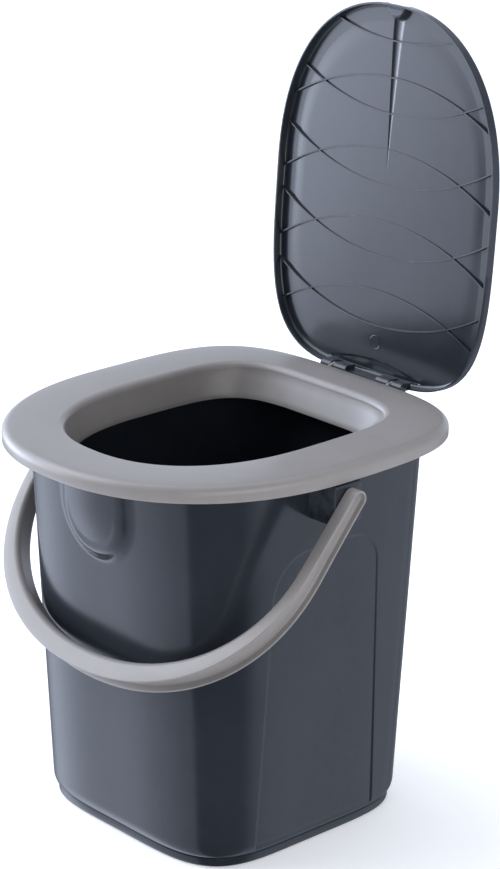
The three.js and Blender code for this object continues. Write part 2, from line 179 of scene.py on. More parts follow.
def moved(shell, change):
    points, faces = shell
    return change(points), faces


WELD_DISTANCE = 1e-6
SHARP_ANGLE = math.radians(38)


def make_piece(name, shells, material, body, nodes):
    """One object made of closed shells that stands for CAD nodes and rides on a body."""
    mesh = bpy.data.meshes.new(name)
    work = bmesh.new()
    for points, faces in shells:
        corners = [work.verts.new(point) for point in (points * MM).tolist()]
        for face in faces:
            work.faces.new([corners[i] for i in face])
    bmesh.ops.remove_doubles(work, verts=work.verts, dist=WELD_DISTANCE)
    bmesh.ops.dissolve_degenerate(work, edges=work.edges, dist=WELD_DISTANCE)
    bmesh.ops.recalc_face_normals(work, faces=work.faces)
    for face in work.faces:
        face.smooth = True
    work.to_mesh(mesh)
    work.free()
    mesh.set_sharp_from_angle(angle=SHARP_ANGLE)
    mesh.materials.append(material)
    piece = bpy.data.objects.new(name, mesh)
    bpy.context.scene.collection.objects.link(piece)
    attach(piece, body)
    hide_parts(*nodes)


# ---- materials ----

def add_node(tree, kind, **settings):
    """A node with its inputs or its own properties set by name."""
    node = tree.nodes.new(kind)
    for key, value in settings.items():
        if key in node.inputs:
            node.inputs[key].default_value = value
        else:
            setattr(node, key, value)
    return node


def ramp(tree, source, low, high, low_at, high_at):
    """low where the source is low_at, high where it is high_at, and even between them."""
    node = add_node(tree, "ShaderNodeMapRange")
    node.inputs["From Min"].default_value = low_at
    node.inputs["From Max"].default_value = high_at
    node.inputs["To Min"].default_value = low
    node.inputs["To Max"].default_value = high
    tree.links.new(source, node.inputs["Value"])
    return node.outputs["Result"]


def blend_colours(tree, share, low, high):
    node = add_node(tree, "ShaderNodeMix", data_type="RGBA")
    tree.links.new(share, node.inputs["Factor"])
    for socket, value in ((node.inputs[6], low), (node.inputs[7], high)):
        if isinstance(value, tuple):
            socket.default_value = (*value, 1)
        else:
            tree.links.new(value, socket)
    return node.outputs[2]


def arithmetic(tree, operation, *values):
    node = add_node(tree, "ShaderNodeMath", operation=operation)
    for socket, value in zip(node.inputs, values):
        if isinstance(value, (int, float)):
            socket.default_value = value
        else:
            tree.links.new(value, socket)
    return node.outputs[0]


# Sizes of the patterns are in waves per metre, and the reliefs' depths in metres.
FLOW_SCALE = 7.0
MOTTLE_SCALE = 55.0
GRAIN_SCALE = 1900.0
SINK_SCALE = 12.0
SCRATCH_SCALE = (14.0, 14.0, 1500.0)
SCRATCH_TURN = (0.5, 0.35, 0.9)
SCRATCH_DULLNESS = 0.06
SCRATCH_DEPTH = -0.04
GRAIN_DISTANCE = 0.00006
SINK_DISTANCE = 0.0003


def plastic(name, colour, tint, worn, roughness, grain):
    """Moulded plastic: uneven tint, fine grain, sink marks, scratches and paler worn edges."""
    material = bpy.data.materials.new(name)
    material.use_nodes = True
    tree = material.node_tree
    shader = tree.nodes["Principled BSDF"]
    place = add_node(tree, "ShaderNodeTexCoord").outputs["Object"]

    def noise(scale, detail=2.0, rough=0.5, vector=place):
        node = add_node(tree, "ShaderNodeTexNoise", Scale=scale, Detail=detail, Roughness=rough)
        tree.links.new(vector, node.inputs["Vector"])
        return node.outputs["Fac"]

    def scaled(source, factor):
        return arithmetic(tree, "MULTIPLY", source, factor)

    flow = noise(FLOW_SCALE, detail=3.0)
    mottle = noise(MOTTLE_SCALE, detail=3.0, rough=0.6)
    clouds = arithmetic(tree, "MULTIPLY_ADD", flow, 0.7, scaled(mottle, 0.3))
    base = blend_colours(tree, ramp(tree, clouds, 0, 1, 0.36, 0.64), colour, tint)

    edge = add_node(tree, "ShaderNodeNewGeometry").outputs["Pointiness"]
    rub = scaled(ramp(tree, edge, 0, 1, 0.53, 0.62), ramp(tree, mottle, 0.1, 0.9, 0.4, 0.6))
    tree.links.new(blend_colours(tree, rub, base, worn), shader.inputs["Base Color"])

    stretch = add_node(tree, "ShaderNodeMapping", Scale=SCRATCH_SCALE, Rotation=SCRATCH_TURN)
    tree.links.new(place, stretch.inputs["Vector"])
    streaks = noise(1.0, detail=1.0, rough=0.4, vector=stretch.outputs["Vector"])
    scratches = ramp(tree, streaks, 0, 1, 0.70, 0.80)
    clean = ramp(tree, flow, *roughness, 0.35, 0.65)
    shine = arithmetic(tree, "ADD", clean, scaled(scratches, SCRATCH_DULLNESS))
    tree.links.new(shine, shader.inputs["Roughness"])

    fine = scaled(noise(GRAIN_SCALE), grain)
    height = arithmetic(tree, "ADD", fine, scaled(scratches, SCRATCH_DEPTH))
    bump = add_node(tree, "ShaderNodeBump", Strength=0.35, Distance=GRAIN_DISTANCE)
    tree.links.new(height, bump.inputs["Height"])
    sink = add_node(tree, "ShaderNodeBump", Strength=0.3, Distance=SINK_DISTANCE)
    tree.links.new(noise(SINK_SCALE, detail=1.0), sink.inputs["Height"])
    tree.links.new(sink.outputs["Normal"], bump.inputs["Normal"])
    tree.links.new(bump.outputs["Normal"], shader.inputs["Normal"])
    return material


anthracite = plastic(
    "anthracite_plastic",
    colour=(0.015, 0.018, 0.024),
    tint=(0.019, 0.023, 0.030),
    worn=(0.045, 0.051, 0.062),
    roughness=(0.15, 0.21),
    grain=0.3,
)
warm_grey = plastic(
    "warm_grey_plastic",
    colour=(0.212, 0.197, 0.187),
    tint=(0.236, 0.219, 0.208),
    worn=(0.32, 0.30, 0.288),
    roughness=(0.32, 0.40),
    grain=1.0,
)


# ---- bucket ----

WALL = 2.6
FLARE = 1.028
BASE_BOTTOM = 7.5
BASE_TOP = 10.5
BASE_ROUND = 13.0
SPOUT_HALF = 57.0
SPOUT_Z = 351.0
SPOUT_SIDE_FLANK = 23.0
SPOUT_LOW_FLANK = 16.0
SPOUT_CREASE = 0.6
SPOUT_DOME_RADIUS = 34.0
# The shortest distance from the spout's middle, so that nothing is divided by zero.
SPOUT_MIDDLE = 0.4
ARCH_TOP = 316.0
ARCH_FOOT = 12.0
ARCH_FOOT_RUN = 6.0
ARCH_FRONT_ROUND = 42.0
ARCH_REAR_ROUND = 35.0
ARCH_EDGE = 2.8
ARCH_DEPTH = 0.8
ARCH_EXTRA_DEPTH = 0.9
# Each upright edge of the arch leans: its y at one height, and how far it moves a millimetre down.
ARCH_FRONT_Y, ARCH_FRONT_Z, ARCH_FRONT_LEAN = -77.9, 296.0, 0.053
ARCH_REAR_Y, ARCH_REAR_Z, ARCH_REAR_LEAN = 56.1, 292.0, 0.0217
# Where the bucket's columns grow denser, and how many lie between its stops.
CORNER_START = math.radians(-66)
BUCKET_COUNTS = (44, 48, 8, 38, 10, 33, 8, 44)


def wall_plan(z):
    """The wall's outline at a height: it widens in straight lines from the foot to the rim."""
    low = FOOT * np.array([FLARE, FLARE, FLARE, 1, 1])
    return low + (RIM - low) * z / BUCKET_TOP


def arch_front(z):
    return ARCH_FRONT_Y - (ARCH_FRONT_Z - z) * ARCH_FRONT_LEAN


def arch_rear(z):
    return ARCH_REAR_Y + (ARCH_REAR_Z - z) * ARCH_REAR_LEAN


def side_angle(plan, y):
    """The direction of the point on the side wall that is this far along from the centre."""
    reach, square = (plan[1], plan[3]) if y < 0 else (plan[2], plan[4])
    return math.atan2(y, plan[0] * (1 - abs(y / reach) ** square) ** (1 / square))


def bucket_columns(z):
    """Columns that follow the arched panel's edges up the side walls."""
    plan = wall_plan(z)
    front, rear = arch_front(z) - BUCKET_Y, arch_rear(z) - BUCKET_Y
    margin = 0.9 * ARCH_EDGE
    places = (
        front - margin, front + margin, front + ARCH_FRONT_ROUND + 3,
        rear - ARCH_REAR_ROUND - 3, rear - margin, rear + margin,
    )
    stops = [-math.pi / 2, CORNER_START]
    stops += [side_angle(plan, y) for y in places] + [math.pi / 2]
    return columns(stops, BUCKET_COUNTS)


def rounded_meet(first, second, radius):
    """How far inside two edges a point is, where they meet in a round corner."""
    corner = radius - np.hypot(radius - first, radius - second)
    return np.where((first < radius) & (second < radius), corner, np.minimum(first, second))


def arch_depth(y, z):
    """How deep the arched panel is pressed into a side wall."""
    below = ARCH_TOP - z
    ahead = rounded_meet(y - arch_front(z), below, ARCH_FRONT_ROUND)
    behind = rounded_meet(arch_rear(z) - y, below, ARCH_REAR_ROUND)
    depth = ARCH_DEPTH + ARCH_EXTRA_DEPTH * (below / ARCH_TOP) ** 2
    rise = smooth((z - ARCH_FOOT) / ARCH_FOOT_RUN)
    return depth * smooth(np.minimum(ahead, behind) / ARCH_EDGE + 0.5) * rise


def spout_bulge(x, y, z):
    """How far the spout stands out: a U with sloping flanks round a slightly domed face."""
    below = max(SPOUT_Z - z, 0)
    distance = np.maximum(np.hypot(x, below), SPOUT_MIDDLE)
    flank = SPOUT_SIDE_FLANK + (SPOUT_LOW_FLANK - SPOUT_SIDE_FLANK) * below / distance
    rise = np.clip((SPOUT_HALF - distance) / flank, 0, 1)
    slope = rise - SPOUT_CREASE * np.sin(2 * math.pi * rise) / (2 * math.pi)
    dome = np.clip(1 - (distance / SPOUT_DOME_RADIUS) ** 2, 0, 1)
    return np.where(y < 0, SPOUT_STEP * slope + SPOUT_DOME * dome, 0)


def bucket_ring(inset, z, panel=True):
    angle = bucket_columns(z)
    radius = outline(wall_plan(z), angle) - inset
    x, y = radius * np.cos(angle), radius * np.sin(angle)
    y = y - spout_bulge(x, y, z) + BUCKET_Y
    if panel:
        x = x - np.sign(x) * arch_depth(y, z)
    return np.column_stack([x, y, np.full(len(x), z)])


def bucket_shell():
    """The foot ring, wall, rim bead, inside and floor, as (inset from the wall, height)."""
    foot = [(14, BASE_BOTTOM), (8.6, 7.3), (8, 6.6), (8, 0.8), (7.2, 0), (6.4, 0)]
    foot += arc((6.4, 2.6), (2.1, 2.6), 270, 180, 7)
    foot += [(4.3, 8.2), (4.5, 8.9), (5.1, 9.3), (5.2, 9.9)]
    foot += arc((5.2, 22), (5.2, 12.1), 270, 180, 12)[1:]
    bands = ((24, 276, 15), (280, 322, 43), (325, 351, 11), (356, 398, 8))
    outside = foot + [(0, z) for band in bands for z in np.linspace(*band)]
    bead = [(-0.3, 399), (-1.6, 399.5), (-2.6, 400.1), (-BEAD_OUT, 401), (-BEAD_OUT, 403)]
    bead += [(-2.6, 403.9), (-1.7, 404.4), (1.6, 404.4), (2.3, 404.1), (WALL, 403.4)]
    inner_heights = [398, 376, 356, 351, 345, 339, 333, 327, 322, 317, 312, 307, 302, 297, 292]
    inner_heights += [286, 276, 150, 30]
    inside = [(WALL, z) for z in inner_heights]
    centre = (WALL + BASE_ROUND, BASE_TOP + BASE_ROUND)
    inside += arc(centre, (BASE_ROUND, BASE_ROUND), 180, 270, 9)
    rings = [bucket_ring(inset, z) for inset, z in outside]
    rings += [bucket_ring(inset, z, False) for inset, z in bead + inside]
    return loft(rings, (0, BUCKET_Y, BASE_BOTTOM), (0, BUCKET_Y, BASE_TOP))


BOSS_HALF = 17.0
BOSS_TOP = 390.5
BOSS_LOW = 350.5
BOSS_WALL = 3.0
BOSS_ROUND = 2.0
STUD_HOLE = 5.9
# The hood is a hair smaller than the face plate, and reaches into the wall and the plate.
HOOD_HAIR = 0.06
HOOD_LOW = BOSS_LOW + 0.4
HOOD_ROOT = 1.3
HOOD_OVERLAP = 1.6


def boss_outline(inset):
    """The boss's face, anticlockwise in Y and Z, with rounded corners."""
    half = BOSS_HALF - inset - BOSS_ROUND
    low, high = BOSS_LOW + inset + BOSS_ROUND, BOSS_TOP - inset - BOSS_ROUND
    corners = ((half, low, -90), (half, high, 0), (-half, high, 90), (-half, low, 180))
    points = []
    for y, z, start in corners:
        points += arc((PIVOT[1] + y, z), (BOSS_ROUND, BOSS_ROUND), start, start + 90, 9)
    return np.array(points)


def boss_face():
    """The outer plate, with the round hole that the handle's stud snaps into."""
    edge = boss_outline(0)
    angle = np.arctan2(edge[:, 1] - PIVOT[2], edge[:, 0] - PIVOT[1])
    hole = STUD_HOLE * np.column_stack([np.cos(angle), np.sin(angle)]) + PIVOT[1:]
    back = BOSS_FACE - BOSS_WALL
    layers = [(hole, BOSS_FACE), (boss_outline(1.1), BOSS_FACE)]
    layers += [(boss_outline(0.35), BOSS_FACE - 0.35), (edge, BOSS_FACE - 1.2)]
    layers += [(edge, back), (hole, back)]
    rings = [np.column_stack([np.full(len(flat), x), flat]) for flat, x in layers]
    return loft(rings, loop=True)


def boss_hood():
    """The boss's top and two sides, open underneath, rooted in the wall."""
    half, high = BOSS_HALF - HOOD_HAIR, BOSS_TOP - HOOD_HAIR
    outer = [(-half, HOOD_LOW)]
    outer += arc((-half + BOSS_ROUND, high - BOSS_ROUND), (BOSS_ROUND, BOSS_ROUND), 180, 90, 7)
    outer += arc((half - BOSS_ROUND, high - BOSS_ROUND), (BOSS_ROUND, BOSS_ROUND), 90, 0, 7)
    outer.append((half, HOOD_LOW))
    thin, inner_round = half - BOSS_WALL, 1
    inner_high = high - BOSS_WALL - inner_round
    inner = [(thin, HOOD_LOW)]
    inner += arc((thin - inner_round, inner_high), (inner_round, inner_round), 0, 90, 4)
    inner += arc((-thin + inner_round, inner_high), (inner_round, inner_round), 90, 180, 4)
    inner.append((-thin, HOOD_LOW))
    flat = np.array(outer + inner)[::-1]
    root = np.array([wall_plan(z)[0] - HOOD_ROOT for z in flat[:, 1]])
    rings = []
    for x in (root, np.full(len(flat), BOSS_FACE - HOOD_OVERLAP)):
        rings.append(np.column_stack([x, flat[:, 0] + PIVOT[1], flat[:, 1]]))
    points, faces = loft(rings)
    size = len(flat)
    faces.append(list(range(size)))
    faces.append(list(range(size, 2 * size)))
    return points, faces


def make_bucket():
    shells = [bucket_shell(), boss_face(), boss_hood()]
    shells += [mirrored(boss_face()), mirrored(boss_hood())]
    make_piece("bucket_shell", shells, anthracite, "bucket", ["bucket"])


# ---- seat ----

SEAT_WALL = 2.8
SEAT_STEPS = 320
SEAT_CROWN = 0.6
INNER_CROWN = 0.5
LIP_DROP = 16.0
LIP_DROP_SIDE = 2.5
SKIRT_DROP = 36.0
SKIRT_PULL = np.array([5, 6, 12.8, 0, 0])
SHOULDER = 9.0
INNER_SHOULDER = 7.5
SHOULDER_DROP = 8.6
INNER_SHOULDER_DROP = 7.0
# The channel: insets from the wall's outline at the rim, then its depth, gap and roof.
CHANNEL_OUTSIDE = -5.7
CHANNEL_FACE = -3.7
CHANNEL_INSIDE = 4.0
CHANNEL_DROP = 12.0
CHANNEL_GAP = 0.4
CHANNEL_ROOF = 2.4
LUG_SPAN = (40.8, 43.8)
LUG_RADIUS = 4.0
LUG_ROOT = 4.0
LUG_RISE = 1.5
LUG_BEVEL = 0.3
LUG_BEVEL_SHARE = 0.93
PIN_HOLE = 2.4


def seat_ring(share, outset, drop):
    """share 0 is the opening's edge, which the splash skirt follows down, and 1 the outer edge.
    The outer lip hangs lower at the sides than in front."""
    angle = np.linspace(0, 2 * math.pi, SEAT_STEPS, endpoint=False)
    sunk = np.clip((drop - INNER_SHOULDER) / (SKIRT_DROP - INNER_SHOULDER), 0, 1)
    inner = outline(OPENING - SKIRT_PULL * sunk * (share == 0), angle)
    radius = inner + (outline(SEAT, angle) - inner) * share + outset
    down = (share == 1) * np.clip((drop - SHOULDER) / (LIP_DROP - SHOULDER), 0, 1)
    z = SEAT_TOP - drop - LIP_DROP_SIDE * np.cos(angle) ** 2 * down
    return np.column_stack([radius * np.cos(angle), radius * np.sin(angle) + SEAT_Y, z])


def seat_shell():
    """Stations are (share, outset, drop), from the outer lip over the top and down the skirt,
    then back underneath."""
    wall = SEAT_WALL
    outer = arc((-SHOULDER, SEAT_CROWN + SHOULDER_DROP), (SHOULDER, -SHOULDER_DROP), 0, 90, 12)
    inner = arc(
        (INNER_SHOULDER, INNER_CROWN + INNER_SHOULDER_DROP),
        (-INNER_SHOULDER, -INNER_SHOULDER_DROP), 90, 0, 12,
    )
    top = ((0.8, 0.28), (0.65, 0.1), (0.5, 0.0), (0.35, 0.06))
    stations = [(1, outset, drop) for outset, drop in outer]
    stations += [(share, 0, drop) for share, drop in top]
    stations += [(0, outset, drop) for outset, drop in inner]
    stations += [(0, 0, drop) for drop in (14, 22, 30, SKIRT_DROP - 1.2)]
    stations += [(0, 0.4, SKIRT_DROP - 0.3), (0, 1.2, SKIRT_DROP), (0, 2.1, SKIRT_DROP - 0.3)]
    stations += [(0, wall - 0.3, SKIRT_DROP - 1.2), (0, wall, 22), (0, wall, 9)]
    stations += [(0, 6, 4.6), (0.2, 0, 3.2), (0.5, 0, wall), (0.8, 0, wall + 0.2)]
    stations += [(1, -SHOULDER - 1, wall + 1), (1, -5, 5.2), (1, -wall, 10)]
    stations += [(1, -wall, LIP_DROP - 1), (1, -2.2, LIP_DROP - 0.2), (1, -1.4, LIP_DROP)]
    stations += [(1, -0.7, LIP_DROP - 0.2), (1, -0.1, LIP_DROP - 1)]
    return loft([seat_ring(*station) for station in stations], loop=True)


def rim_channel():
    """The channel under the seat that sits on the bucket's rim and grips its bead."""
    roof, low = BUCKET_TOP + CHANNEL_GAP, BUCKET_TOP - CHANNEL_DROP
    top = roof + CHANNEL_ROOF
    stations = [(CHANNEL_OUTSIDE, low), (CHANNEL_OUTSIDE, top), (CHANNEL_INSIDE, top)]
    stations += [(CHANNEL_INSIDE, roof), (CHANNEL_FACE, roof), (CHANNEL_FACE, low)]
    rings = []
    angle = np.linspace(0, 2 * math.pi, SEAT_STEPS, endpoint=False)
    for inset, z in stations:
        radius = outline(wall_plan(BUCKET_TOP), angle) - inset
        x, y = radius * np.cos(angle), radius * np.sin(angle)
        y = y - spout_bulge(x, y, BUCKET_TOP) + BUCKET_Y
        rings.append(np.column_stack([x, y, np.full(SEAT_STEPS, z)]))
    return loft(rings, loop=True)


def hinge_lug():
    """A thin ear behind the seat, with a round end about the hinge axis and a hole for the pin."""
    root = SEAT_Y + SEAT[2] - LUG_ROOT - HINGE[1]
    edge = [(root, LUG_RISE), (root, -LUG_RADIUS)]
    edge += arc((0, 0), (LUG_RADIUS, LUG_RADIUS), -90, 90, 17)
    flat = np.array(edge)
    angle = np.arctan2(flat[:, 1], flat[:, 0])
    hole = PIN_HOLE * np.column_stack([np.cos(angle), np.sin(angle)])
    low, high = LUG_SPAN
    small = flat * LUG_BEVEL_SHARE
    layers = [(hole, low), (small, low), (flat, low + LUG_BEVEL)]
    layers += [(flat, high - LUG_BEVEL), (small, high), (hole, high)]
    rings = [np.column_stack([np.full(len(p), x), p + HINGE[1:]]) for p, x in layers]
    return loft(rings, loop=True)


def make_seat():
    shells = [seat_shell(), rim_channel(), hinge_lug(), mirrored(hinge_lug())]
    make_piece("seat_ring", shells, warm_grey, "seat", ["seat"])


# ---- lid, worked out closed about the hinge axis, then turned open ----

LID_OPEN = math.radians(-94.65)
LID_BASE = 4.9
LID_SKIRT = 12.0
LID_TOP = LID_BASE + LID_SKIRT
LID_WALL = 2.2
LID_CROWN = -2.5
LID_OVERHANG = 2.9
LID_Y = LID_OVERHANG - LID[2]
LID_TIP = LID[1] - LID_Y
LID_OUTER_ROUND = 4.0
LID_INNER_ROUND = 3.0
GROOVE_END = 213.0
GROOVE_HALF = 7.5
GROOVE_DEPTH = 1.6
GROOVE_BACK = 0.9
GROOVE_BACK_END = 340.0
GROOVE_BACK_RUN = 12.0
DENT_RADIUS = 17.0
DENT_DEPTH = 6.4
DENT_RUN = 4.5
CRESCENT_HALF = 76.0
CRESCENT_HEIGHT = 12.0
CRESCENT_FOOT = 2.5
CRESCENT_STEP = 1.2
CRESCENT_RUN = 1.6
# Where the lid's columns change their spacing, and how many lie between those angles.
LID_STOPS = [math.radians(angle) for angle in (-90, -87.2, -82, 60, 90)]
LID_COUNTS = (14, 10, 70, 44)
RIB_PITCH = 72.6
RIB_CURVE = 285.0
SAGGING_START, SAGGING_RIBS = 51.0, 5
HUMPED_START, HUMPED_RIBS = 87.0, 4
RIB_DEPTH = 3.2
RIB_HALF = 0.7
RIB_BEVEL = 0.12
RIB_ROOT = 0.8
RIB_END_GAP = 1.2
RIB_STEPS = 150
KNUCKLE_RADIUS = 4.9
OUTER_KNUCKLE = (44.2, 59.0)
INNER_KNUCKLE = (22.0, 40.4)
KNUCKLE_FRONT = 4.6
KNUCKLE_RISE = 5.0
# The knuckles and the stop bar stay this far inside the skirt's outer face.
SKIRT_SLIP = 0.1
STOP_BAR_HALF = 23.0
STOP_BAR_FRONT = -0.6
STOP_BAR_DROP = 5.1
STOP_BAR_RISE = 2.0
PIN_RADIUS = 1.95
PIN_INNER, PIN_OUTER = 27.5, 58.7
PIN_BEVEL = 0.4


def open_lid(points):
    return turned_about(LID_OPEN, points) + HINGE


def finger_dent(x, reach):
    """How deep the dent at the tip is. reach is the distance from the hinge axis to the tip."""
    return DENT_DEPTH * smooth((DENT_RADIUS - np.hypot(x, reach - LID_TIP)) / DENT_RUN)


def groove(x, reach):
    """The tapering groove in the underside, 1 at its deepest."""
    along = np.clip((reach - GROOVE_END) / (LID_TIP - GROOVE_END), 1e-4, 1)
    hollow = np.clip(1 - (x / (GROOVE_HALF * along)) ** 2, 0, 1) ** 0.6
    return along ** 0.7 * hollow * np.clip(1 - finger_dent(x, reach), 0, 1)


def lid_sink(x, reach):
    """How far the plate is pressed towards the seat: the finger dent, less the crescent."""
    arc_reach = CRESCENT_FOOT + CRESCENT_HEIGHT * (1 - (x / CRESCENT_HALF) ** 2)
    return finger_dent(x, reach) - CRESCENT_STEP * smooth((arc_reach - reach) / CRESCENT_RUN)


def plate_height(x, reach, share, groove_depth=GROOVE_DEPTH):
    """The underside of the plate, or its top less the wall."""
    dished = LID_TOP - LID_WALL + LID_CROWN * (1 - share ** 2)
    return dished - lid_sink(x, reach) + groove_depth * groove(x, reach)


def lid_ring(share, inset, height, plate):
    """A ring of the lid. A plate ring is measured up from the plate's underside, and a wall ring
    from the lid's lower edge, and shortens where the finger dent presses the plate down."""
    angle = columns(LID_STOPS, LID_COUNTS)
    radius = share * outline(LID, angle) - inset
    x, y = radius * np.cos(angle), radius * np.sin(angle) + LID_Y
    if plate:
        back = GROOVE_BACK * (1 - smooth((-y - GROOVE_BACK_END) / GROOVE_BACK_RUN))
        z = plate_height(x, -y, share, back if height else GROOVE_DEPTH) + height
    else:
        stretch = (height - LID_BASE) / (LID_TOP - LID_WALL - LID_INNER_ROUND - LID_BASE)
        z = height - np.clip(lid_sink(x, -y), 0, None) * np.clip(stretch, 0, 1)
    return np.column_stack([x, y, z])


def lid_shell():
    """The underside from its middle out, the skirt's inside, its edge and outside, then the top."""
    shares = [0.04, 0.12, 0.22, 0.32, 0.42, 0.52, 0.62, 0.7, 0.78, 0.85]
    insets = list(range(19, 5, -1))
    under = [(share, 0, 0, True) for share in shares]
    under += [(1, inset, 0, True) for inset in insets]
    round_in, round_out = LID_INNER_ROUND, LID_OUTER_ROUND
    centre = (LID_WALL + round_in, LID_TOP - LID_WALL - round_in)
    walls = arc(centre, (-round_in, round_in), 90, 0, 7)
    walls += [(LID_WALL, LID_BASE + 0.6), (LID_WALL - 0.4, LID_BASE)]
    walls += [(0.5, LID_BASE), (0, LID_BASE + 0.6)]
    walls += arc((round_out, LID_TOP - round_out), (-round_out, round_out), 0, 90, 9)
    rings = under + [(1, inset, z, False) for inset, z in walls]
    rings += [(1, inset, LID_WALL, True) for inset in insets[::-1]]
    rings += [(share, 0, LID_WALL, True) for share in shares[::-1]]
    middle = plate_height(0, -LID_Y, 0)
    ends = (0, LID_Y, middle), (0, LID_Y, middle + LID_WALL)
    return loft([lid_ring(*ring) for ring in rings], *ends)


def lid_share(x, reach):
    """How far out a point is: 0 at the middle of the lid, 1 at its edge."""
    y = -reach - LID_Y
    return np.hypot(x, y) / outline(LID, np.arctan2(y, x))


def rib(start, bend):
    """A thin arched rib with a level free edge. bend +1 opens towards the tip."""
    def reach_at(x):
        return start + bend * (RIB_CURVE - math.sqrt(RIB_CURVE ** 2 - x * x))

    end = 0.0
    while lid_share(end, reach_at(end)) < 1 - RIB_END_GAP / LID[0] and end < LID[0]:
        end += 0.1
    low = LID_TOP - LID_WALL - RIB_DEPTH
    rings = []
    for x in np.linspace(-end, end, RIB_STEPS):
        reach = reach_at(x)
        across = np.array([bend * x / RIB_CURVE, 1.0]) / math.hypot(x / RIB_CURVE, 1)
        top = plate_height(x, reach, lid_share(x, reach)) + RIB_ROOT
        section = [(-RIB_HALF, top), (-RIB_HALF, low + RIB_BEVEL), (-RIB_HALF + RIB_BEVEL, low)]
        section += [(-side, z) for side, z in section[::-1]]
        rings.append([
            (x - side * across[0], -(reach + side * across[1]), z) for side, z in section
        ])
    rings = np.array(rings)
    return loft(rings, rings[0].mean(0), rings[-1].mean(0))


def knuckle(from_x, to_x):
    """A hinge block under the lid's rear skirt, round about the hinge axis."""
    rear = LID_OVERHANG - SKIRT_SLIP
    meet = math.degrees(math.acos(rear / KNUCKLE_RADIUS))
    top = LID_BASE + KNUCKLE_RISE
    edge = arc((0, 0), (KNUCKLE_RADIUS, KNUCKLE_RADIUS), 180, 360 + meet, 26)
    edge += [(rear, top), (-KNUCKLE_FRONT, top)]
    return prism(np.array(edge), from_x, to_x)


def stop_bar():
    """The bar between the inner knuckles, which meets the back of the seat when the lid is open."""
    rear, top = LID_OVERHANG - SKIRT_SLIP, LID_BASE + STOP_BAR_RISE
    edge = [(STOP_BAR_FRONT, -STOP_BAR_DROP), (rear, -STOP_BAR_DROP), (rear, top)]
    edge.append((STOP_BAR_FRONT, top))
    return prism(np.array(edge, float), -STOP_BAR_HALF, STOP_BAR_HALF)


def moulding_mark():
    """A plain raised ring on the underside of the lid."""
    reach, radius, tube = 33.0, 7.0, 0.45
    around = np.linspace(0, 2 * math.pi, 48, endpoint=False)
    rings = []
    for turn in np.linspace(0, 2 * math.pi, 8, endpoint=False):
        width = radius + tube * math.cos(turn)
        x, run = width * np.cos(around), reach + width * np.sin(around)
        z = plate_height(x, run, lid_share(x, run)) - tube * math.sin(turn)
        rings.append(np.column_stack([x, -run, z]))
    return loft(rings, loop=True)


def make_lid():
    shells = [lid_shell(), stop_bar(), moulding_mark()]
    shells += [rib(SAGGING_START + RIB_PITCH * i, 1) for i in range(SAGGING_RIBS)]
    shells += [rib(HUMPED_START + RIB_PITCH * i, -1) for i in range(HUMPED_RIBS)]
    for span in (OUTER_KNUCKLE, INNER_KNUCKLE):
        shells += [knuckle(*span), mirrored(knuckle(*span))]
    opened = [moved(shell, open_lid) for shell in shells]
    make_piece("lid_panel", opened, anthracite, "lid", ["lid"])


def make_pins():
    tip = PIN_RADIUS - PIN_BEVEL
    stations = [(PIN_INNER, tip), (PIN_INNER + PIN_BEVEL, PIN_RADIUS)]
    stations += [(PIN_OUTER - PIN_BEVEL, PIN_RADIUS), (PIN_OUTER, tip)]
    for side, name in ((-1, "left"), (1, "right")):
        shell = rod(stations, HINGE[1:], 24)
        if side < 0:
            shell = mirrored(shell)
        node = f"hinge_pin_{name}"
        make_piece(f"pin_{name}", [shell], anthracite, "lid", [node])


# ---- carrying handle, worked out in its own plane: X across, then reach, then lift ----

BAIL_HALF = 192.8
BAIL_REACH = 235.0
BAIL_ARM = 84.0
BAIL_SQUARE = 2.1
BAIL_HANG = math.pi + math.radians(48.7)
BAIL_DEEPENING = 90.0
BAIL_WIDTHS = (17.5, 26.0)
BAIL_DEPTHS = (BAIL_OUTER - BAIL_HALF, 21.4)
BAIL_CHANNELS = (5.7, 8.4)
BAIL_CORNERS = (2.0, 6.5)
BAIL_FLANGE = 2.2
BAIL_LIP = 1.1
BAIL_FILLET = 2.4
BAIL_ARM_STEPS = 24
BAIL_BEND_STEPS = 200
BAIL_END_STEPS = 22
STUD_RADIUS = 5.5
STUD_HEAD = 6.8
STUD_HEAD_LENGTH = 2.4
STUD_HEAD_BEVEL = 0.6
STUD_GAP = 0.4
STUD_ROOT = 1.2


def hang_bail(points):
    return turned_about(BAIL_HANG, points) + PIVOT


def bail_line():
    """The inside face's line: straight arms, then a rounded end."""
    arm = np.linspace(0, BAIL_ARM, BAIL_ARM_STEPS, endpoint=False)
    turn = np.linspace(0, math.pi, BAIL_BEND_STEPS)
    across = np.sign(np.cos(turn)) * np.abs(np.cos(turn)) ** (2 / BAIL_SQUARE)
    along = np.abs(np.sin(turn)) ** (2 / BAIL_SQUARE)
    bend = np.column_stack([BAIL_HALF * across, BAIL_ARM + (BAIL_REACH - BAIL_ARM) * along])
    first = np.column_stack([np.full(len(arm), BAIL_HALF), arm])
    last = np.column_stack([np.full(len(arm), -BAIL_HALF), arm[::-1]])
    return np.concatenate([first, bend, last])


def between(pair, share):
    return pair[0] + (pair[1] - pair[0]) * share


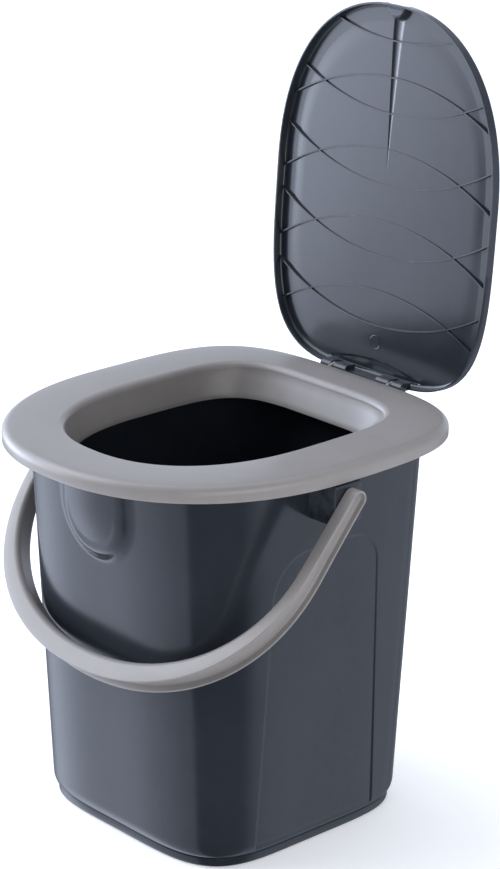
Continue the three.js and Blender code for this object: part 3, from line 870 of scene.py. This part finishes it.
def bail_section(widening, deepening):
    """Stations of the channel: share of the half-width, inset from its edge, height outwards.
    They run from the middle of the inside face, round the lip, to the middle of the channel."""
    corner = between(BAIL_CORNERS, widening)
    depth = between(BAIL_DEPTHS, deepening)
    floor = depth - between(BAIL_CHANNELS, deepening)
    still = np.zeros_like(corner)
    flat = [(0, still, still), (0.4, still, still)]
    flat += [(1, corner * (1 + a), corner * (1 + b)) for a, b in arc((0, 0), (-1, -1), 90, 0, 10)]
    low = depth - BAIL_LIP
    lip = arc((0, 0), (-BAIL_LIP, BAIL_LIP), 0, 180, 9)
    flat += [(1, BAIL_LIP + a, low + b) for a, b in lip]
    deep = floor + BAIL_FILLET
    flat += [(1, BAIL_FLANGE + 0.4, deep)]
    inner = BAIL_FLANGE + BAIL_FILLET + 0.4
    fillet = arc((0, 0), (-BAIL_FILLET, -BAIL_FILLET), 15, 90, 6)
    flat += [(1, inner + a, deep + b) for a, b in fillet]
    flat += [(0.4, still, floor), (0, still, floor)]
    return flat


def bail_shell():
    """Each station of the section is a ring: along one edge of the handle from end to end, round
    that end in a half circle, back along the other edge, and round the first end."""
    line = bail_line()
    heading = np.gradient(line, axis=0)
    heading /= np.linalg.norm(heading, axis=1, keepdims=True)
    outward = np.column_stack([heading[:, 1], -heading[:, 0]])
    widening = smooth(line[:, 1] / BAIL_REACH)
    deepening = smooth((line[:, 1] - BAIL_DEEPENING) / (BAIL_REACH - BAIL_DEEPENING))
    ends = np.linspace(0, math.pi, BAIL_END_STEPS)[1:-1]
    size = len(line)
    last, first = np.full(len(ends), size - 1), np.zeros(len(ends), int)
    spots = np.concatenate([np.arange(size), last, np.arange(size)[::-1], first])
    run = np.concatenate([np.zeros(size), np.sin(ends), np.zeros(size), -np.sin(ends)])
    lift = np.concatenate([np.ones(size), np.cos(ends), -np.ones(size), -np.cos(ends)])
    half = between(BAIL_WIDTHS, widening)[spots] / 2
    rings = []
    for share, inset, out in bail_section(widening[spots], deepening[spots]):
        width = share * half - inset
        along, off = heading[spots] * (run * width)[:, None], outward[spots] * out[:, None]
        rings.append(np.column_stack([line[spots] + along + off, lift * width]))
    return loft(rings)


def bail_stud():
    """The stud on an arm's end: a shank through the boss's face and a wider head behind it."""
    back = BOSS_FACE - BOSS_WALL - STUD_GAP
    tip = back - STUD_HEAD_LENGTH
    stations = [(tip, STUD_HEAD - STUD_HEAD_BEVEL), (tip + STUD_HEAD_BEVEL, STUD_HEAD)]
    stations += [(back - 0.5, STUD_HEAD), (back, STUD_HEAD - 0.5)]
    stations += [(back, STUD_RADIUS), (BAIL_HALF + STUD_ROOT, STUD_RADIUS)]
    return rod(stations, (0, 0))


def make_bail():
    shells = [bail_shell(), bail_stud(), mirrored(bail_stud())]
    hung = [moved(shell, hang_bail) for shell in shells]
    make_piece("handle_bail", hung, warm_grey, "handle", ["carry_handle"])


make_bucket()
make_seat()
make_lid()
make_pins()
make_bail()


# ---- floor, light and camera ----

FLOOR_HALF = 8.0
FLOOR_HEIGHT = -0.0003
FLOOR_GLOW = 0.28
STUDIO_TINT = (0.84, 0.92, 1.10, 1)
WHITE = (1, 1, 1, 1)
# The camera's direction from the object, and the point it looks at.
CAMERA_AZIMUTH = math.radians(48.28)
CAMERA_ELEVATION = math.radians(19.43)
CAMERA_DISTANCE = 2.867
CAMERA_AIM = Vector((0, -0.0179, 0.300))
CAMERA_SIDEWAYS, CAMERA_UPWARDS = 0.0328, 0.0828
CAMERA_LENS = 120


def make_floor():
    material = bpy.data.materials.new("floor")
    material.use_nodes = True
    tree = material.node_tree
    shader = tree.nodes["Principled BSDF"]
    place = add_node(tree, "ShaderNodeTexCoord").outputs["Object"]
    noise = add_node(tree, "ShaderNodeTexNoise", Scale=2.0, Detail=2.0)
    tree.links.new(place, noise.inputs["Vector"])
    colour = blend_colours(tree, noise.outputs["Fac"], (0.90, 0.90, 0.905), (0.92, 0.92, 0.92))
    tree.links.new(colour, shader.inputs["Base Color"])
    shader.inputs["Roughness"].default_value = 0.9
    shader.inputs["Specular IOR Level"].default_value = 0.1
    shader.inputs["Emission Color"].default_value = WHITE
    shader.inputs["Emission Strength"].default_value = FLOOR_GLOW
    mesh = bpy.data.meshes.new("floor")
    signs = ((-1, -1), (1, -1), (1, 1), (-1, 1))
    corners = [(x * FLOOR_HALF, y * FLOOR_HALF, FLOOR_HEIGHT) for x, y in signs]
    mesh.from_pydata(corners, [], [(0, 1, 2, 3)])
    mesh.materials.append(material)
    floor = bpy.data.objects.new("floor", mesh)
    bpy.context.scene.collection.objects.link(floor)
    floor.visible_glossy = False


def studio_world():
    """Soft light all round, by bearing in degrees (0 is the front, 90 the right) and height z: a
    broad panel low at the left, a tall bright one above it, a dimmer one at the right, a dark gap
    between them in front, and a pale ceiling. The camera itself sees plain white."""
    world = bpy.data.worlds.new("studio")
    bpy.context.scene.world = world
    world.use_nodes = True
    tree = world.node_tree
    tree.nodes.clear()
    place = add_node(tree, "ShaderNodeTexCoord").outputs["Generated"]
    parts = add_node(tree, "ShaderNodeSeparateXYZ")
    tree.links.new(place, parts.inputs[0])
    x, y, z = parts.outputs
    bearing = arithmetic(tree, "ARCTAN2", x, arithmetic(tree, "MULTIPLY", y, -1.0))

    def fade(source, low, high, low_at, high_at):
        result = ramp(tree, source, low, high, low_at, high_at)
        result.node.interpolation_type = "SMOOTHSTEP"
        return result

    def by_bearing(low, high, low_at, high_at):
        return fade(bearing, low, high, math.radians(low_at), math.radians(high_at))

    def combined(operation, values):
        result = values[0]
        for value in values[1:]:
            result = arithmetic(tree, operation, result, value)
        return result

    def product(*factors):
        return combined("MULTIPLY", factors)

    def total(*terms):
        return combined("ADD", terms)

    base = 0.08
    level = ramp(tree, bearing, 1.15, 0.77, math.radians(-45), math.radians(-10))
    panel = total(product(level, by_bearing(1, 0, 3, 12)), by_bearing(1.2, 0, -66, -45))
    panel = product(panel, by_bearing(0.1, 1, -112, -68), fade(z, 1, 0, -0.30, -0.20))
    tall = product(
        ramp(tree, z, 6.2, 11.0, -0.19, -0.07),
        by_bearing(1, 0, -80, -20),
        by_bearing(0.12, 1, -110, -66),
        fade(z, 0, 1, -0.30, -0.20),
        fade(z, 1, 0.35, 0.1, 0.5),
    )
    right = product(
        by_bearing(0, 0.8, 95, 125),
        by_bearing(1, 0.6, 145, 170),
        fade(z, 1, 0.5, -0.1, 0.3),
    )
    ceiling = fade(z, 0, 0.4, 0.25, 0.8)
    whole = total(panel, tall, right, ceiling, base)
    lit = add_node(tree, "ShaderNodeBackground")
    lit.inputs["Color"].default_value = STUDIO_TINT
    tree.links.new(whole, lit.inputs["Strength"])
    plain = add_node(tree, "ShaderNodeBackground", Strength=1.0)
    plain.inputs["Color"].default_value = WHITE
    ray = add_node(tree, "ShaderNodeLightPath")
    mix = add_node(tree, "ShaderNodeMixShader")
    tree.links.new(ray.outputs["Is Camera Ray"], mix.inputs[0])
    tree.links.new(lit.outputs[0], mix.inputs[1])
    tree.links.new(plain.outputs[0], mix.inputs[2])
    output = add_node(tree, "ShaderNodeOutputWorld")
    tree.links.new(mix.outputs[0], output.inputs["Surface"])


def softbox(name, place, target, size, power, seen_in_gloss=True):
    """A rectangular studio light: metres, and watts."""
    light = bpy.data.lights.new(name, "AREA")
    light.shape = "RECTANGLE"
    light.size, light.size_y = size
    light.energy = power
    lamp = bpy.data.objects.new(name, light)
    lamp.location = place
    lamp.rotation_euler = (Vector(target) - Vector(place)).to_track_quat("-Z", "Y").to_euler()
    lamp.visible_glossy = seen_in_gloss
    bpy.context.scene.collection.objects.link(lamp)


def make_camera():
    azimuth, elevation = CAMERA_AZIMUTH, CAMERA_ELEVATION
    right = Vector((math.cos(azimuth), math.sin(azimuth), 0))
    level = math.cos(elevation)
    back = Vector((math.sin(azimuth) * level, -math.cos(azimuth) * level, math.sin(elevation)))
    up = back.cross(right)
    aim = CAMERA_AIM + right * CAMERA_SIDEWAYS + up * CAMERA_UPWARDS
    data = bpy.data.cameras.new("camera")
    data.lens = CAMERA_LENS
    data.sensor_width = 36
    data.clip_end = 50
    camera = bpy.data.objects.new("camera", data)
    camera.location = aim + back * CAMERA_DISTANCE
    camera.rotation_euler = (-back).to_track_quat("-Z", "Y").to_euler()
    bpy.context.scene.collection.objects.link(camera)
    bpy.context.scene.camera = camera


make_floor()
studio_world()
softbox("key_light", (-1.6, -1.8, 2.4), (0, 0, 0.35), (1.6, 1.6), 26)
softbox("top_light", (0.3, 0.4, 2.8), (0, 0, 0.4), (2.0, 2.0), 14)
softbox("right_light", (2.4, -0.6, 0.75), (0, 0, 0.4), (2.6, 1.6), 32)
softbox("left_light", (-2.1, -1.9, 0.8), (0, 0, 0.4), (1.6, 1.2), 14, seen_in_gloss=False)
make_camera()
bpy.context.scene.view_settings.view_transform = "Standard"
